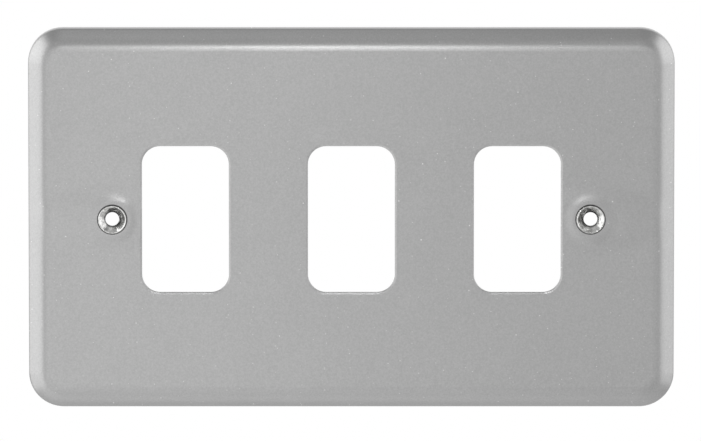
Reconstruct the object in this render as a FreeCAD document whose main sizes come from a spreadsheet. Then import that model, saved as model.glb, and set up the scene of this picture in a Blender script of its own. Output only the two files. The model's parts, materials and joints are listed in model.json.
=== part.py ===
import FreeCAD, Part
import math
import os
import Sketcher

# Front plate of a three-module grid switch: one pressed steel sheet with a bevelled rim,
# three punched module apertures and two plated screw eyelets clinched into it.
# The plate stands as on the wall: +Z up, front face towards -Y, rim on the plane y = 0,
# origin at the middle of the rim. All sizes are millimetres.

SIZES = [
    ("fixing_centres", 120.6, "between the two screw axes, as on a two-gang wall box"),
    ("end_margin", 21.2, "from a screw axis to the end of the plate"),
    ("plate_height", 96.4, "over the rim"),
    ("corner_radius", 8.8, "of the rim's outline, outside"),
    ("sheet_thickness", 1.2, "of the pressed sheet"),
    ("bevel", 3.0, "run and drop of the 45 degree rim, to the sharp corners"),
    ("skirt_height", 2.6, "straight edge between the bevel and the wall"),
    ("face_bend", 4.8, "inside radius of the bend from face to bevel"),
    ("skirt_bend", 0.4, "inside radius of the bend from bevel to skirt"),
    ("aperture_width", 21.9, "of one module aperture"),
    ("aperture_height", 37.25, "of one module aperture"),
    ("aperture_corner", 4.6, "corner radius of an aperture"),
    ("aperture_count", 3, "modules in a row, a whole number"),
    ("aperture_land", 7.5, "from a screw axis to the end aperture's near edge"),
    ("roll_width", 0.45, "how far the punched edge rolls over on the front"),
    ("roll_drop", 0.15, "how deep the punched edge rolls over on the front"),
    ("seat_rise", 0.22, "how far the sheet is drawn up under an eyelet"),
    ("seat_land", 0.25, "flat of the seat outside the eyelet's flange"),
    ("seat_margin", 0.15, "from the foot of the seat to the end aperture's rolled edge"),
    ("bore_radius", 1.75, "clearance hole for a 3.5 mm screw"),
    ("flange_radius", 3.65, "of the eyelet's rolled front flange"),
    ("flange_height", 0.55, "of the flange above its seat"),
    ("lip_round", 0.25, "radius of the flange's rolled lip"),
    ("barrel_radius", 3.0, "of the eyelet where it passes through the sheet"),
    ("barrel_clearance", 0.05, "between the barrel and the hole in the sheet, on the radius"),
    ("tail_radius", 3.6, "of the clinched tail behind the sheet"),
    ("tail_height", 0.5, "of the clinched tail behind the sheet"),
    ("tail_bevel", 0.3, "on the tail's outer edge"),
]

COUNTERSINK_HALF_ANGLE = 45.0
UP = FreeCAD.Vector(0, 0, 1)
TOUCH = 1e-4

doc = FreeCAD.newDocument("grid_switch_plate")
sheet = doc.addObject("Spreadsheet::Sheet", "sizes")
for row, (alias, value, note) in enumerate(SIZES, start=1):
    sheet.set(f"A{row}", alias)
    sheet.set(f"B{row}", str(value))
    sheet.setAlias(f"B{row}", alias)
    sheet.set(f"C{row}", note)
doc.recompute()


def size(alias):
    """A driving dimension, read back from the sheet."""
    return float(sheet.get(alias))


# Sizes that follow from the driving ones, as numbers for placing sketch points and finding edges,
# and as expressions that bind the features to the sheet.
PLATE_WIDTH = "(sizes.fixing_centres + 2 * sizes.end_margin)"
PLATE_DEPTH = "(sizes.bevel + sizes.skirt_height)"
SCREW_X = "(sizes.fixing_centres / 2)"
END_APERTURE_X = "(sizes.fixing_centres / 2 - sizes.aperture_land - sizes.aperture_width / 2)"
SEAT_FLAT = "(sizes.flange_radius + sizes.seat_land)"
SEAT_FOOT = "(sizes.aperture_land - sizes.roll_width - sizes.seat_margin)"
HOLE_RADIUS = "(sizes.barrel_radius + sizes.barrel_clearance)"
FACE_BEND_OUTSIDE = "(sizes.face_bend + sizes.sheet_thickness)"
SKIRT_BEND_OUTSIDE = "(sizes.skirt_bend + sizes.sheet_thickness)"

plate_width = size("fixing_centres") + 2 * size("end_margin")
plate_depth = size("bevel") + size("skirt_height")
screw_x = size("fixing_centres") / 2
end_aperture_x = screw_x - size("aperture_land") - size("aperture_width") / 2
seat_flat = size("flange_radius") + size("seat_land")
seat_foot = size("aperture_land") - size("roll_width") - size("seat_margin")
hole_radius = size("barrel_radius") + size("barrel_clearance")


def vector(x, y):
    return FreeCAD.Vector(x, y, 0)


def origin_feature(body, role):
    return next(item for item in body.Origin.OriginFeatures if item.Role == role)


def new_body(label):
    body = doc.addObject("PartDesign::Body", label)
    body.Label = label
    return body


def new_sketch(body, role, name):
    sketch = body.newObject("Sketcher::SketchObject", name)
    sketch.AttachmentSupport = [(origin_feature(body, role), "")]
    sketch.MapMode = "FlatFace"
    return sketch


def bind(sketch, name, expression, *constraint):
    """Add a dimension to a sketch and tie it to the sheet."""
    index = sketch.addConstraint(Sketcher.Constraint(*constraint))
    sketch.renameConstraint(index, name)
    sketch.setExpression(f"Constraints.{name}", expression)


def rounded_rectangle(sketch, centre_x, width, height, radius):
    """Four lines and four tangent arcs about a centre point on the sketch's X axis."""
    half_w, half_h = width / 2, height / 2
    straight_w, straight_h = half_w - radius, half_h - radius
    sides = [
        ((-straight_w, -half_h), (straight_w, -half_h)),
        ((half_w, -straight_h), (half_w, straight_h)),
        ((straight_w, half_h), (-straight_w, half_h)),
        ((-half_w, straight_h), (-half_w, -straight_h)),
    ]
    corners = [
        (straight_w, -straight_h),
        (straight_w, straight_h),
        (-straight_w, straight_h),
        (-straight_w, -straight_h),
    ]
    for (x0, y0), (x1, y1) in sides:
        sketch.addGeometry(Part.LineSegment(vector(centre_x + x0, y0), vector(centre_x + x1, y1)), False)
    for quarter, (x, y) in enumerate(corners):
        circle = Part.Circle(vector(centre_x + x, y), UP, radius)
        start = (quarter - 1) * math.pi / 2
        sketch.addGeometry(Part.ArcOfCircle(circle, start, start + math.pi / 2), False)
    centre = sketch.addGeometry(Part.Point(vector(centre_x, 0)), True)
    for k in range(4):
        sketch.addConstraint(Sketcher.Constraint("Tangent", k, 2, 4 + k, 1))
        sketch.addConstraint(Sketcher.Constraint("Tangent", 4 + k, 2, (k + 1) % 4, 1))
        sketch.addConstraint(Sketcher.Constraint("Horizontal" if k % 2 == 0 else "Vertical", k))
    for k in range(5, 8):
        sketch.addConstraint(Sketcher.Constraint("Equal", 4, k))
    sketch.addConstraint(Sketcher.Constraint("Symmetric", 4, 3, 6, 3, centre, 1))
    return centre


def edge_names(shape, wanted):
    return [f"Edge{k}" for k, edge in enumerate(shape.Edges, start=1) if wanted(edge)]


def lies_at(edge, y):
    box = edge.BoundBox
    return abs(box.YMin - y) < TOUCH and abs(box.YMax - y) < TOUCH


def round_edges(body, name, base, edges, radius_expression):
    fillet = body.newObject("PartDesign::Fillet", name)
    fillet.Base = (base, edges)
    fillet.setExpression("Radius", radius_expression)
    doc.recompute()
    return fillet


def bevel_edges(body, name, base, edges, size_expression, second_expression=None):
    chamfer = body.newObject("PartDesign::Chamfer", name)
    chamfer.Base = (base, edges)
    chamfer.setExpression("Size", size_expression)
    if second_expression:
        chamfer.ChamferType = "Two distances"
        chamfer.setExpression("Size2", second_expression)
    doc.recompute()
    return chamfer


def press_tray(body):
    """The sheet pressed into a shallow tray: flat face, 45 degree bevel and short skirt."""
    outline = new_sketch(body, "XZ_Plane", "rim_outline")
    centre = rounded_rectangle(outline, 0, plate_width, size("plate_height"), size("corner_radius"))
    outline.addConstraint(Sketcher.Constraint("Coincident", centre, 1, -1, 1))
    bind(outline, "width", PLATE_WIDTH, "DistanceX", 3, 1, 1, 1, plate_width)
    bind(outline, "height", "sizes.plate_height", "DistanceY", 0, 1, 2, 1, size("plate_height"))
    bind(outline, "corner", "sizes.corner_radius", "Radius", 4, size("corner_radius"))

    block = body.newObject("PartDesign::Pad", "block")
    block.Profile = outline
    block.setExpression("Length", PLATE_DEPTH)
    doc.recompute()

    front_edges = edge_names(block.Shape, lambda edge: lies_at(edge, -plate_depth))
    bevel = bevel_edges(body, "bevelled_rim", block, front_edges, "sizes.bevel")
    face_edges = edge_names(bevel.Shape, lambda edge: lies_at(edge, -plate_depth))
    face_bend = round_edges(body, "face_bend_round", bevel, face_edges, FACE_BEND_OUTSIDE)
    skirt_edges = edge_names(face_bend.Shape, lambda edge: lies_at(edge, -size("skirt_height")))
    skirt_bend = round_edges(body, "skirt_bend_round", face_bend, skirt_edges, SKIRT_BEND_OUTSIDE)

    back = [
        f"Face{k}"
        for k, face in enumerate(skirt_bend.Shape.Faces, start=1)
        if abs(face.BoundBox.YMin) < TOUCH and abs(face.BoundBox.YMax) < TOUCH
    ]
    tray = body.newObject("PartDesign::Thickness", "tray")
    tray.Base = (skirt_bend, back)
    tray.setExpression("Value", "sizes.sheet_thickness")
    tray.Reversed = True
    tray.Join = "Intersection"
    doc.recompute()
    return tray


def seat_section(sketch):
    """Section of the sheet where it is drawn up under an eyelet, left of the left screw axis.

    Front and back are the same step: a flat, two equal tangent arcs and the face again,
    one sheet thickness apart.
    """
    thickness = size("sheet_thickness")
    rise = size("seat_rise")
    run = seat_foot - seat_flat
    slope = 2 * math.atan2(rise, run)
    arc_radius = run / (2 * math.sin(slope))
    axis = sketch.addGeometry(Part.LineSegment(vector(-screw_x, 0), vector(-screw_x, -plate_depth)), True)
    sketch.addConstraint(Sketcher.Constraint("Vertical", axis))
    sketch.addConstraint(Sketcher.Constraint("PointOnObject", axis, 1, -1))
    bind(sketch, "screw_x", SCREW_X, "DistanceX", axis, 1, -1, 1, screw_x)
    bind(sketch, "face_y", PLATE_DEPTH, "DistanceY", axis, 2, axis, 1, plate_depth)

    steps = []
    for level in (-plate_depth, -plate_depth + thickness):
        inner = (-screw_x - hole_radius, level - rise)
        flat_end = (-screw_x - seat_flat, level - rise)
        flat = sketch.addGeometry(Part.LineSegment(vector(*inner), vector(*flat_end)), False)
        sketch.addConstraint(Sketcher.Constraint("Horizontal", flat))
        upper = Part.Circle(vector(flat_end[0], flat_end[1] + arc_radius), UP, arc_radius)
        lower = Part.Circle(vector(-screw_x - seat_foot, level - arc_radius), UP, arc_radius)
        down, up = -math.pi / 2, math.pi / 2
        crest = sketch.addGeometry(Part.ArcOfCircle(upper, down - slope, down), False)
        foot = sketch.addGeometry(Part.ArcOfCircle(lower, up - slope, up), False)
        sketch.addConstraint(Sketcher.Constraint("Tangent", flat, 2, crest, 2))
        sketch.addConstraint(Sketcher.Constraint("Tangent", crest, 1, foot, 1))
        sketch.addConstraint(Sketcher.Constraint("Equal", crest, foot))
        sketch.addConstraint(Sketcher.Constraint("Vertical", foot, 2, foot, 3))
        steps.append((flat, foot))
    (front_flat, front_foot), (back_flat, back_foot) = steps
    hole = sketch.addGeometry(
        Part.LineSegment(
            vector(-screw_x - hole_radius, -plate_depth + thickness - rise),
            vector(-screw_x - hole_radius, -plate_depth - rise),
        ),
        False,
    )
    outer = sketch.addGeometry(
        Part.LineSegment(
            vector(-screw_x - seat_foot, -plate_depth),
            vector(-screw_x - seat_foot, -plate_depth + thickness),
        ),
        False,
    )
    sketch.addConstraint(Sketcher.Constraint("Coincident", hole, 1, back_flat, 1))
    sketch.addConstraint(Sketcher.Constraint("Coincident", hole, 2, front_flat, 1))
    sketch.addConstraint(Sketcher.Constraint("Vertical", hole))
    sketch.addConstraint(Sketcher.Constraint("Coincident", outer, 1, front_foot, 2))
    sketch.addConstraint(Sketcher.Constraint("Coincident", outer, 2, back_foot, 2))
    sketch.addConstraint(Sketcher.Constraint("Vertical", outer))
    sketch.addConstraint(Sketcher.Constraint("Horizontal", front_foot, 2, axis, 2))
    bind(sketch, "thickness", "sizes.sheet_thickness", "DistanceY", outer, 1, outer, 2, thickness)
    bind(sketch, "hole_thickness", "sizes.sheet_thickness", "DistanceY", hole, 2, hole, 1, thickness)
    bind(sketch, "rise", "sizes.seat_rise", "DistanceY", front_flat, 1, axis, 2, rise)
    bind(sketch, "hole_radius", HOLE_RADIUS, "DistanceX", front_flat, 1, axis, 2, hole_radius)
    bind(sketch, "seat_flat", SEAT_FLAT, "DistanceX", front_flat, 2, axis, 2, seat_flat)
    bind(sketch, "seat_flat_back", SEAT_FLAT, "DistanceX", back_flat, 2, axis, 2, seat_flat)
    bind(sketch, "seat_foot", SEAT_FOOT, "DistanceX", front_foot, 2, axis, 2, seat_foot)


def raise_screw_seats(body):
    """Draw the sheet up round the left screw hole, then mirror it to the right end."""
    disc = new_sketch(body, "XZ_Plane", "seat_disc")
    circle = disc.addGeometry(Part.Circle(vector(-screw_x, 0), UP, seat_foot), False)
    disc.addConstraint(Sketcher.Constraint("PointOnObject", circle, 3, -1))
    bind(disc, "screw_x", SCREW_X, "DistanceX", circle, 3, -1, 1, screw_x)
    bind(disc, "radius", SEAT_FOOT, "Radius", circle, seat_foot)
    opening = body.newObject("PartDesign::Pocket", "seat_opening")
    opening.Profile = disc
    opening.Type = "ThroughAll"
    opening.Reversed = True
    doc.recompute()

    section = new_sketch(body, "XY_Plane", "seat_section")
    seat_section(section)
    seat = body.newObject("PartDesign::Revolution", "screw_seat")
    seat.Profile = section
    seat.ReferenceAxis = (section, ["Axis0"])
    seat.Angle = 360
    doc.recompute()

    seats = body.newObject("PartDesign::Mirrored", "screw_seats")
    seats.Originals = [opening, seat]
    seats.MirrorPlane = (origin_feature(body, "YZ_Plane"), [""])
    body.Tip = seats
    doc.recompute()
    return seats


def punch_apertures(body):
    """Punch the end aperture, repeat it along the row and roll the front edges over."""
    outline = new_sketch(body, "XZ_Plane", "aperture_outline")
    width, height, corner = size("aperture_width"), size("aperture_height"), size("aperture_corner")
    centre = rounded_rectangle(outline, -end_aperture_x, width, height, corner)
    outline.addConstraint(Sketcher.Constraint("PointOnObject", centre, 1, -1))
    bind(outline, "centre_x", END_APERTURE_X, "DistanceX", centre, 1, -1, 1, end_aperture_x)
    bind(outline, "width", "sizes.aperture_width", "DistanceX", 3, 1, 1, 1, width)
    bind(outline, "height", "sizes.aperture_height", "DistanceY", 0, 1, 2, 1, height)
    bind(outline, "corner", "sizes.aperture_corner", "Radius", 4, corner)

    aperture = body.newObject("PartDesign::Pocket", "end_aperture")
    aperture.Profile = outline
    aperture.Type = "ThroughAll"
    aperture.Reversed = True
    doc.recompute()

    row = body.newObject("PartDesign::LinearPattern", "aperture_row")
    row.Originals = [aperture]
    row.Direction = (origin_feature(body, "X_Axis"), [""])
    row.setExpression("Length", f"2 * {END_APERTURE_X}")
    row.setExpression("Occurrences", "sizes.aperture_count")
    body.Tip = row
    doc.recompute()

    row_reach = end_aperture_x + width / 2 + TOUCH

    def on_aperture(edge):
        box = edge.BoundBox
        within = max(-box.XMin, box.XMax) < row_reach and max(-box.ZMin, box.ZMax) < height / 2 + TOUCH
        return within and lies_at(edge, -plate_depth)

    edges = edge_names(row.Shape, on_aperture)
    return bevel_edges(body, "rolled_edges", row, edges, "sizes.roll_drop", "sizes.roll_width")


def make_front_plate():
    body = new_body("front_plate")
    press_tray(body)
    raise_screw_seats(body)
    punch_apertures(body)
    return body


def eyelet_section(sketch):
    """Half section of an eyelet: axis on the sketch's Y axis, seat on its X axis, front towards -Y."""
    thickness = size("sheet_thickness")
    bore, flange, barrel = size("bore_radius"), size("flange_radius"), size("barrel_radius")
    tail, tail_height = size("tail_radius"), size("tail_height")
    tail_end = thickness + tail_height
    lip = size("lip_round")
    lip_centre = (flange - lip, lip - size("flange_height"))
    half_angle = math.radians(COUNTERSINK_HALF_ANGLE)
    lip_end = (lip_centre[0] - lip * math.cos(half_angle), lip_centre[1] - lip * math.sin(half_angle))
    throat = (bore, lip_end[1] + (lip_end[0] - bore) / math.tan(half_angle))

    corners = [
        throat,
        (bore, tail_end),
        (tail, tail_end),
        (tail, thickness),
        (barrel, thickness),
        (barrel, 0),
        (flange, 0),
        (flange, lip_centre[1]),
    ]
    lines = []
    for start, end in zip(corners, corners[1:]):
        lines.append(sketch.addGeometry(Part.LineSegment(vector(*start), vector(*end)), False))
    for before, after in zip(lines, lines[1:]):
        sketch.addConstraint(Sketcher.Constraint("Coincident", before, 2, after, 1))
    for k, line in enumerate(lines):
        sketch.addConstraint(Sketcher.Constraint("Vertical" if k % 2 == 0 else "Horizontal", line))
    bore_wall, tail_back, tail_edge, tail_front, barrel_wall, seat, flange_edge = lines

    cone = sketch.addGeometry(Part.LineSegment(vector(*lip_end), vector(*throat)), False)
    sketch.addConstraint(Sketcher.Constraint("Coincident", cone, 2, bore_wall, 1))

    # The lip is one round in three equal spans, so that each span turns by 45 degrees at the most
    lip_circle = Part.Circle(vector(*lip_centre), UP, lip)
    splits = [math.pi + half_angle, 1.5 * math.pi, 1.75 * math.pi, 2 * math.pi]
    spans = []
    for start, end in zip(splits, splits[1:]):
        spans.append(sketch.addGeometry(Part.ArcOfCircle(lip_circle, start, end), False))
    lip_inner, lip_crest, lip_outer = spans
    for before, after in zip(spans, spans[1:]):
        sketch.addConstraint(Sketcher.Constraint("Coincident", before, 2, after, 1))
        sketch.addConstraint(Sketcher.Constraint("Coincident", before, 3, after, 3))
    bisector_end = (lip_centre[0] + lip * math.sqrt(0.5), lip_centre[1] - lip * math.sqrt(0.5))
    bisector = sketch.addGeometry(Part.LineSegment(vector(*lip_centre), vector(*bisector_end)), True)
    sketch.addConstraint(Sketcher.Constraint("Coincident", bisector, 1, lip_crest, 3))
    sketch.addConstraint(Sketcher.Constraint("Coincident", bisector, 2, lip_crest, 2))
    sketch.addConstraint(Sketcher.Constraint("Angle", bisector, -math.pi / 4))
    sketch.addConstraint(Sketcher.Constraint("Vertical", lip_crest, 1, lip_crest, 3))
    sketch.addConstraint(Sketcher.Constraint("Tangent", lip_inner, 1, cone, 1))
    sketch.addConstraint(Sketcher.Constraint("Tangent", lip_outer, 2, flange_edge, 2))
    sketch.addConstraint(Sketcher.Constraint("PointOnObject", seat, 1, -1))

    sketch.addConstraint(Sketcher.Constraint("Angle", cone, math.pi / 2 + half_angle))
    bind(sketch, "bore", "sizes.bore_radius", "DistanceX", -1, 1, bore_wall, 2, bore)
    bind(sketch, "tail", "sizes.tail_radius", "DistanceX", -1, 1, tail_edge, 1, tail)
    bind(sketch, "barrel", "sizes.barrel_radius", "DistanceX", -1, 1, barrel_wall, 1, barrel)
    bind(sketch, "flange", "sizes.flange_radius", "DistanceX", -1, 1, flange_edge, 1, flange)
    bind(sketch, "thickness", "sizes.sheet_thickness", "DistanceY", -1, 1, tail_front, 1, thickness)
    bind(sketch, "tail_height", "sizes.tail_height", "DistanceY", tail_edge, 2, tail_edge, 1, tail_height)
    bind(sketch, "lip", "sizes.lip_round", "Radius", lip_crest, lip)
    lip_drop = "sizes.flange_height - sizes.lip_round"
    bind(sketch, "lip_drop", lip_drop, "DistanceY", lip_crest, 3, -1, 1, -lip_centre[1])


def make_eyelet(label, side):
    """A rolled eyelet: countersunk mouth, barrel through the sheet and clinched tail."""
    body = new_body(label)
    section = new_sketch(body, "XY_Plane", f"{label}_section")
    eyelet_section(section)
    turned = body.newObject("PartDesign::Revolution", f"{label}_turned")
    turned.Profile = section
    turned.ReferenceAxis = (section, ["V_Axis"])
    turned.Angle = 360
    doc.recompute()

    tail_end = size("sheet_thickness") + size("tail_height")
    outer = size("barrel_radius")
    rim = edge_names(turned.Shape, lambda edge: lies_at(edge, tail_end) and edge.BoundBox.XMax > outer)
    bevel_edges(body, f"{label}_tail_bevel", turned, rim, "sizes.tail_bevel")
    body.setExpression("Placement.Base.x", f"{side} * {SCREW_X}")
    body.setExpression("Placement.Base.y", f"-({PLATE_DEPTH} + sizes.seat_rise)")
    return body


def check_document():
    """Stop if any object of the document failed to build."""
    failed = [item.Name for item in doc.Objects if "Invalid" in item.State or "Error" in item.State]
    if failed:
        raise RuntimeError(f"these objects failed to build: {failed}")


def write(body):
    shape = body.Shape
    if shape.isNull() or not shape.isValid() or len(shape.Solids) != 1:
        raise RuntimeError(f"{body.Label} is not one valid solid")
    shape.exportStep(os.path.join("parts", f"{body.Label}.step"))
    box = shape.optimalBoundingBox()
    print(
        f"{body.Label}: volume {shape.Volume:.2f} mm3, x {box.XMin:.2f} to {box.XMax:.2f}, "
        f"y {box.YMin:.2f} to {box.YMax:.2f}, z {box.ZMin:.2f} to {box.ZMax:.2f}"
    )


pieces = [make_front_plate()]
for label, side in (("left_screw_eyelet", -1), ("right_screw_eyelet", 1)):
    pieces.append(make_eyelet(label, side))
doc.recompute()
check_document()
os.makedirs("parts", exist_ok=True)
for piece in pieces:
    write(piece)
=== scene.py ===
import json
import math

import bpy
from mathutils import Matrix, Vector

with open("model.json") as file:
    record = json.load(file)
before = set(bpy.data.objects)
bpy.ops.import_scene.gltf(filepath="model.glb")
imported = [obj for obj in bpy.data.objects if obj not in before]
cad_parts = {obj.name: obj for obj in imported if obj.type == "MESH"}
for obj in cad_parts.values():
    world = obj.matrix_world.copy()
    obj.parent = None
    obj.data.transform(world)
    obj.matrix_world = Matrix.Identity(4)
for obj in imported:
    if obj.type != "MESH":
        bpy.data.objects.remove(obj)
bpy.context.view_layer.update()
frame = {"nodes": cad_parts, "record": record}

# The photograph's frame and the view it was taken from
IMAGE_WIDTH = 701
CAMERA_ELEVATION = 7.9
CAMERA_DISTANCE = 3.0
FOCAL_PIXELS = 11875.0
SENSOR_WIDTH = 36.0
CAMERA_CLIP = (0.1, 50.0)    # nearest and farthest distance drawn
AIM = Vector((-0.00022, 0.0, -0.00104))

# The eyelets, as the frame has them
EYELETS = ("left_screw_eyelet", "right_screw_eyelet")
screw_bore = next(mount for mount in frame["record"]["mounts"] if mount["name"] == "right_screw_bore")
SCREW_X = screw_bore["pos_m"][0]
BORE_RADIUS = screw_bore["dims"]["r_mm"] / 1000.0
FLANGE_RADIUS = frame["nodes"]["right_screw_eyelet"].dimensions.x / 2

# The part of a noise's range that is used, as few points lie beyond it
NOISE_RANGE = (0.3, 0.7)

# Paint on the plate
PAINT_COLOUR = (0.456, 0.456, 0.456)
PAINT_ROUGHNESS = 0.32
GRAIN_SCALE = 2600.0
GRAIN_DETAIL = 3.0
GRAIN_TONE = 0.075
GRAIN_RELIEF = 4e-6
CLOUD_SCALE = 90.0
CLOUD_TONE = 0.01
NIB_LAYERS = ((0.006, 0.00022), (0.0031, 0.00016))    # spacing, radius
NIB_CORE = 0.3    # share of a nib's radius that has its full strength
NIB_RARITY = 4.0    # power that makes most nibs weak and few of them strong
# how much lighter the nibs are painted: a painted glint on top of their real relief
NIB_PAINTED_GLINT = 0.8
NIB_RELIEF = 40e-6
EDGE_SOFTNESS = 0.00015    # radius to which the shading rounds the punched edges
EDGE_SAMPLES = 8
DISH_REACH = 0.0062    # how far outside the flange the shading of its raised seat reaches
DISH_HEIGHT = 0.00045
DISH_WIDTH = 2.2    # how many times wider than tall that shading is
# Round the apertures the rolled edge is painted a little lighter than the face as a painted highlight, and
# the cut wall is painted darker as painted shade
ROLL_PAINTED_HIGHLIGHT = 1.1
ROLL_FACING = (0.955, 0.985)    # how squarely the sheet looks forward or back: on the roll, on the face
CUT_WALL_PAINTED_SHADE = 0.25
CUT_FACING = (0.2, 0.4)    # the same: on the wall, on the roll
FACE_ZONE = (0.07, 0.03)    # half width and half height of the face that is clear of the rim
GAP_SHADE_NEAR = 0.0001    # painted shade line round a flange, standing in for the shadow in the gap: full depth to here, gone at the second
GAP_SHADE_FAR = 0.00028
# depth of that painted shade
GAP_PAINTED_SHADE = 0.15

# Plating on the eyelets
PLATING_COLOUR = (0.72, 0.72, 0.71)
PLATING_ROUGHNESS = (0.10, 0.18)
PLATING_GRAIN_SCALE = 1800.0
ROLLING_SCALE = 650.0
ROLLING_RELIEF = 0.00015
EYELET_LEAN = 0.12    # slope by which the shading of the mouths leans away from the middle of the plate
TARNISH_SCALE = 900.0
TARNISH_TONE = 0.32
THROAT_SHADE_REACH = 0.0006    # how far up the mouth the painted shade of the throat reaches
# tone of the mouth beside the lip, so that the lip reads as a painted highlight
MOUTH_BELOW_LIP_HIGHLIGHT = 0.9
LIP_START = 0.00065    # the lip painted brighter than the mouth as a painted highlight, measured inwards from the flange's edge
LIP_END = 0.0004
UNDER_LIP_SHADE_SPAN = (0.00022, 0.00006)    # where the painted shade under the lip starts and is full
# depth of the painted shade in the throat and under the lip
PAINTED_SHADE_TONE = 0.2

# Room round the plate
FLOOR_Z = -0.6
FLOOR_LOW = (-6.0, -6.0)
FLOOR_HIGH = (6.0, 3.0)
FLOOR_TONE = (0.87, 0.89)
FLOOR_GRAIN_SCALE = 4.0
FLOOR_GRAIN_DETAIL = 3.0
FLOOR_ROUGHNESS = 0.9

# Light tent: brightness of its five sides, with the plate facing its front
TENT = {"back": 1.0, "front": 0.65, "left": 1.0, "right": 1.0, "roof": 0.46}

# Where one side of the tent turns into the next, on the unit direction's own axes
TENT_SIDE = (0.48, 0.82)
TENT_ROOF = (0.15, 0.45)
TENT_BACK = (0.3, 0.9)

# Softboxes: place, point aimed at, width, height, watts
SOFTBOXES = {
    "key": ((-0.009, -0.35, 0.119), (-0.009, 0.0, 0.045), 0.04, 0.04, 0.058),
    "brow": ((-0.01, -0.35, 0.119), (-0.01, 0.0, 0.045), 0.46, 0.04, 0.028),
    "sill": ((-0.15, -0.45, -0.29), (-0.15, 0.0, -0.02), 0.50, 0.16, 0.03),
    "lintel": ((-0.05, -0.40, 0.34), (-0.05, 0.0, 0.04), 0.50, 0.12, 0.032),
    "front_strip": ((-0.05, -0.50, -0.10), (0.0, 0.0, -0.02), 0.60, 0.14, 0.055),
    "front_left": ((-0.14, -0.50, -0.07), (-0.14, 0.0, 0.0), 0.28, 0.30, 0.076),
    "front_right": ((0.30, -0.50, -0.07), (0.15, 0.0, 0.0), 0.20, 0.30, 0.016),
    "left": ((-0.65, -0.20, 0.06), (0.0, -0.20, 0.06), 1.10, 1.20, 3.0),
    "right": ((0.65, -0.12, 0.16), (0.0, -0.12, 0.16), 0.95, 1.10, 1.5),
    "low": ((-0.245, -0.27, -0.38), (-0.245, 0.0, 0.0), 0.60, 0.62, 0.18),
    "overhead": ((-0.05, -0.14, 0.40), (-0.05, 0.0, 0.04), 0.20, 0.30, 0.04),
}


class Graph:
    """Small helper that adds nodes to a tree and wires them by name."""

    def __init__(self, tree):
        self.tree = tree
        tree.nodes.clear()

    def node(self, kind, inputs=None, **settings):
        made = self.tree.nodes.new(kind)
        for key, value in settings.items():
            setattr(made, key, value)
        for key, value in (inputs or {}).items():
            self.feed(made, key, value)
        return made

    def feed(self, node, key, value):
        socket = node.inputs[key]
        if isinstance(value, bpy.types.NodeSocket):
            self.tree.links.new(value, socket)
        else:
            socket.default_value = value

    def math(self, operation, a, b=0.0):
        return self.node("ShaderNodeMath", {0: a, 1: b}, operation=operation).outputs[0]

    def product(self, first, *others):
        for other in others:
            first = self.math("MULTIPLY", first, other)
        return first

    def ramp(self, value, low, high, out_low, out_high, smooth=False):
        kind = "SMOOTHSTEP" if smooth else "LINEAR"
        inputs = {"Value": value, "From Min": low, "From Max": high, "To Min": out_low, "To Max": out_high}
        return self.node("ShaderNodeMapRange", inputs, interpolation_type=kind).outputs[0]

    def noise(self, place, scale, detail=2.0):
        inputs = {"Vector": place, "Scale": scale, "Detail": detail}
        return self.node("ShaderNodeTexNoise", inputs).outputs["Fac"]

    def vary(self, noise, amount):
        """A tone round 1 that follows a noise."""
        return self.ramp(noise, *NOISE_RANGE, 1.0 - amount, 1.0 + amount)

    def blend(self, share, a, b):
        """Plain mix of two levels: all a where the share is 0 and all b where it is 1."""
        return self.node("ShaderNodeMix", {0: share, 2: a, 3: b}, data_type="FLOAT").outputs[0]

    def tint(self, colour, tone):
        return self.node("ShaderNodeVectorMath", {0: colour, "Scale": tone}, operation="SCALE").outputs[0]

    def bump(self, height, relief, normal=None):
        made = self.node("ShaderNodeBump", {"Height": height, "Distance": relief, "Strength": 1.0})
        if normal:
            self.feed(made, "Normal", normal)
        return made.outputs["Normal"]

    def metal(self, colour, roughness, normal):
        inputs = {"Base Color": colour, "Metallic": 1.0, "Roughness": roughness, "Normal": normal}
        shader = self.node("ShaderNodeBsdfPrincipled", inputs)
        self.node("ShaderNodeOutputMaterial", {"Surface": shader.outputs["BSDF"]})


def new_material(name):
    material = bpy.data.materials.new(name)
    material.use_nodes = True
    return material, Graph(material.node_tree)


def screw_place(g, place):
    """Distance out from the nearer screw axis, away from the middle of the plate, and height above it."""
    axes = g.node("ShaderNodeSeparateXYZ", {0: place}).outputs
    return g.math("SUBTRACT", g.math("ABSOLUTE", axes["X"]), SCREW_X), axes["Z"]


def span(g, a, b):
    return g.math("SQRT", g.math("ADD", g.math("POWER", a, 2.0), g.math("POWER", b, 2.0)))


def paint_nibs(g, place, spacing, size):
    """Sparse round nibs of random strength, about the given spacing apart on the front face."""
    axes = g.node("ShaderNodeSeparateXYZ", {0: place}).outputs
    flat = g.node("ShaderNodeCombineXYZ", {"X": axes["X"], "Y": axes["Z"]}).outputs[0]
    inputs = {"Vector": flat, "Scale": 1.0 / spacing}
    cells = g.node("ShaderNodeTexVoronoi", inputs, voronoi_dimensions="2D")
    rim = size / spacing
    shape = g.ramp(cells.outputs["Distance"], NIB_CORE * rim, rim, 1.0, 0.0, smooth=True)
    strength = g.node("ShaderNodeSeparateColor", {0: cells.outputs["Color"]}).outputs[0]
    return g.math("MULTIPLY", shape, g.math("POWER", strength, NIB_RARITY))


def aperture_painted_light(g, facing, out, up):
    """Painted light round the apertures: a painted highlight on the rolled edges, painted shade on the cut
    walls, 1 everywhere else.
    """
    facing = g.math("ABSOLUTE", facing)
    roll_highlight = g.ramp(facing, *ROLL_FACING, ROLL_PAINTED_HIGHLIGHT, 1.0)
    wall_shade = g.ramp(facing, *CUT_FACING, CUT_WALL_PAINTED_SHADE, 1.0)
    half_width, half_height = FACE_ZONE
    within_width = g.math("LESS_THAN", out, half_width - SCREW_X)
    within_height = g.math("LESS_THAN", g.math("ABSOLUTE", up), half_height)
    return g.blend(g.product(within_width, within_height), 1.0, g.product(roll_highlight, wall_shade))


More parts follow.
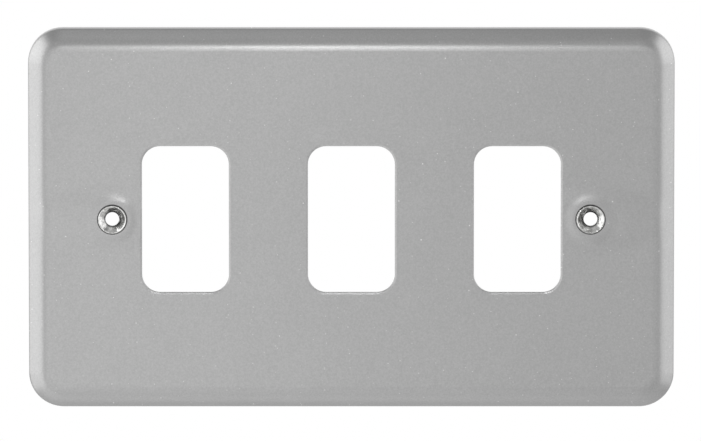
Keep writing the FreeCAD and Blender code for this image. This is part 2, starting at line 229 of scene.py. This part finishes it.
def plate_paint():
    """Satin silver-grey metallic paint: flake grain, faint cloudiness, nibs with a painted glint, painted
    light round the apertures and painted shade round the flanges.
    """
    material, g = new_material("plate_paint_metallic")
    place = g.node("ShaderNodeTexCoord").outputs["Object"]
    out, up = screw_place(g, place)
    radius = span(g, out, up)
    oval = span(g, g.math("DIVIDE", out, DISH_WIDTH), up)
    grain = g.noise(place, GRAIN_SCALE, GRAIN_DETAIL)
    cloud = g.noise(place, CLOUD_SCALE)
    nibs = g.math("ADD", *[paint_nibs(g, place, *layer) for layer in NIB_LAYERS])
    # painted shade round each flange, standing in for the shadow in the gap beside its lip
    gap_shade = g.ramp(
        radius, FLANGE_RADIUS + GAP_SHADE_NEAR, FLANGE_RADIUS + GAP_SHADE_FAR, GAP_PAINTED_SHADE, 1.0, smooth=True
    )
    # the nibs are painted lighter, a painted glint on top of their relief
    nib_glint = g.ramp(nibs, 0.0, 1.0, 1.0, 1.0 + NIB_PAINTED_GLINT)
    normal = g.node("ShaderNodeNewGeometry").outputs["True Normal"]
    facing = g.node("ShaderNodeSeparateXYZ", {0: normal}).outputs["Y"]
    # painted highlight on the rolled edges and painted shade on the cut walls of the apertures
    aperture_light_and_shade = aperture_painted_light(g, facing, out, up)
    tone = g.product(g.vary(grain, GRAIN_TONE), g.vary(cloud, CLOUD_TONE), nib_glint, gap_shade, aperture_light_and_shade)

    soft_edge = g.node("ShaderNodeBevel", {"Radius": EDGE_SOFTNESS}, samples=EDGE_SAMPLES).outputs[0]
    dish = g.ramp(oval, FLANGE_RADIUS, FLANGE_RADIUS + DISH_REACH, 1.0, 0.0, smooth=True)
    dish = g.math("MULTIPLY", dish, g.math("LESS_THAN", facing, 0.0))
    normal = g.bump(dish, DISH_HEIGHT, soft_edge)
    normal = g.bump(grain, GRAIN_RELIEF, normal)
    normal = g.bump(nibs, NIB_RELIEF, normal)
    g.metal(g.tint(PAINT_COLOUR, tone), PAINT_ROUGHNESS, normal)
    return material


def eyelet_plating():
    """Bright rolled plating, uneven from the rolling, with painted shade in the throat and under the lip
    and a painted highlight on the lip.
    """
    material, g = new_material("eyelet_plating_bright")
    place = g.node("ShaderNodeTexCoord").outputs["Object"]
    out, up = screw_place(g, place)
    radius = span(g, out, up)
    # painted shade in the throat
    throat_shade = g.ramp(radius, BORE_RADIUS, BORE_RADIUS + THROAT_SHADE_REACH, PAINTED_SHADE_TONE, 1.0, smooth=True)
    # mouth painted a little darker than the lip, which makes a painted highlight on the lip
    lip_highlight = g.ramp(radius, FLANGE_RADIUS - LIP_START, FLANGE_RADIUS - LIP_END, MOUTH_BELOW_LIP_HIGHLIGHT, 1.0, smooth=True)
    # painted shade under the lip
    edge_start, edge_end = [FLANGE_RADIUS - depth for depth in UNDER_LIP_SHADE_SPAN]
    under_lip_shade = g.ramp(radius, edge_start, edge_end, 1.0, PAINTED_SHADE_TONE, smooth=True)
    rough = g.ramp(g.noise(place, PLATING_GRAIN_SCALE), *NOISE_RANGE, *PLATING_ROUGHNESS)
    normal = g.bump(g.math("MULTIPLY", out, -EYELET_LEAN), 1.0)
    normal = g.bump(g.noise(place, ROLLING_SCALE), ROLLING_RELIEF, normal)
    tarnish = g.vary(g.noise(place, TARNISH_SCALE), TARNISH_TONE)
    g.metal(g.tint(PLATING_COLOUR, g.product(throat_shade, lip_highlight, under_lip_shade, tarnish)), rough, normal)
    return material


def floor_paper():
    """Matt pale studio paper."""
    material, g = new_material("floor_paper")
    place = g.node("ShaderNodeTexCoord").outputs["Object"]
    grain = g.noise(place, FLOOR_GRAIN_SCALE, FLOOR_GRAIN_DETAIL)
    tone = g.ramp(grain, *NOISE_RANGE, *FLOOR_TONE)
    colour = g.node("ShaderNodeCombineColor", {0: tone, 1: tone, 2: tone}).outputs[0]
    shader = g.node("ShaderNodeBsdfPrincipled", {"Base Color": colour, "Roughness": FLOOR_ROUGHNESS})
    g.node("ShaderNodeOutputMaterial", {"Surface": shader.outputs["BSDF"]})
    return material


def dress(node, material):
    for slot in frame["nodes"][node].material_slots:
        slot.material = material


def make_floor():
    (x0, y0), (x1, y1) = FLOOR_LOW, FLOOR_HIGH
    mesh = bpy.data.meshes.new("floor")
    corners = [(x0, y0, FLOOR_Z), (x1, y0, FLOOR_Z), (x1, y1, FLOOR_Z), (x0, y1, FLOOR_Z)]
    mesh.from_pydata(corners, [], [(0, 1, 2, 3)])
    floor = bpy.data.objects.new("floor", mesh)
    mesh.materials.append(floor_paper())
    bpy.context.scene.collection.objects.link(floor)


def make_tent(levels):
    """A light tent: white behind the plate, bright at the sides, grey in front and darker overhead."""
    world = bpy.data.worlds.new("tent")
    world.use_nodes = True
    bpy.context.scene.world = world
    g = Graph(world.node_tree)
    way = g.node("ShaderNodeTexCoord").outputs["Generated"]
    axes = g.node("ShaderNodeSeparateXYZ", {0: way}).outputs
    side_start, side_end = TENT_SIDE
    left = g.ramp(axes["X"], -side_start, -side_end, 0.0, 1.0, smooth=True)
    right = g.ramp(axes["X"], side_start, side_end, 0.0, 1.0, smooth=True)
    above = g.ramp(axes["Z"], *TENT_ROOF, 0.0, 1.0, smooth=True)
    behind = g.ramp(axes["Y"], *TENT_BACK, 0.0, 1.0, smooth=True)
    level = g.blend(above, levels["front"], levels["roof"])
    level = g.blend(left, level, levels["left"])
    level = g.blend(right, level, levels["right"])
    level = g.blend(behind, level, levels["back"])
    sky = g.node("ShaderNodeBackground", {"Color": (1.0, 1.0, 1.0, 1.0), "Strength": level})
    g.node("ShaderNodeOutputWorld", {"Surface": sky.outputs[0]})


def make_softbox(name, place, aim, width, height, watts):
    lamp = bpy.data.lights.new(name, "AREA")
    lamp.shape = "RECTANGLE"
    lamp.size = width
    lamp.size_y = height
    lamp.energy = watts
    holder = bpy.data.objects.new(name, lamp)
    holder.location = place
    holder.rotation_mode = "QUATERNION"
    holder.rotation_quaternion = (Vector(place) - Vector(aim)).to_track_quat("Z", "Y")
    holder.visible_camera = False
    bpy.context.scene.collection.objects.link(holder)


def make_camera():
    data = bpy.data.cameras.new("camera")
    data.sensor_width = SENSOR_WIDTH
    data.lens = FOCAL_PIXELS * SENSOR_WIDTH / IMAGE_WIDTH
    data.clip_start, data.clip_end = CAMERA_CLIP
    camera = bpy.data.objects.new("camera", data)
    elevation = math.radians(CAMERA_ELEVATION)
    back = Vector((0.0, -math.cos(elevation), math.sin(elevation)))
    camera.location = AIM + back * CAMERA_DISTANCE
    camera.rotation_mode = "QUATERNION"
    camera.rotation_quaternion = back.to_track_quat("Z", "Y")
    bpy.context.scene.collection.objects.link(camera)
    bpy.context.scene.camera = camera


dress("front_plate", plate_paint())
plating = eyelet_plating()
for eyelet in EYELETS:
    dress(eyelet, plating)
make_floor()
make_tent(TENT)
for softbox, setting in SOFTBOXES.items():
    make_softbox(softbox, *setting)
make_camera()
bpy.context.scene.view_settings.view_transform = "Standard"
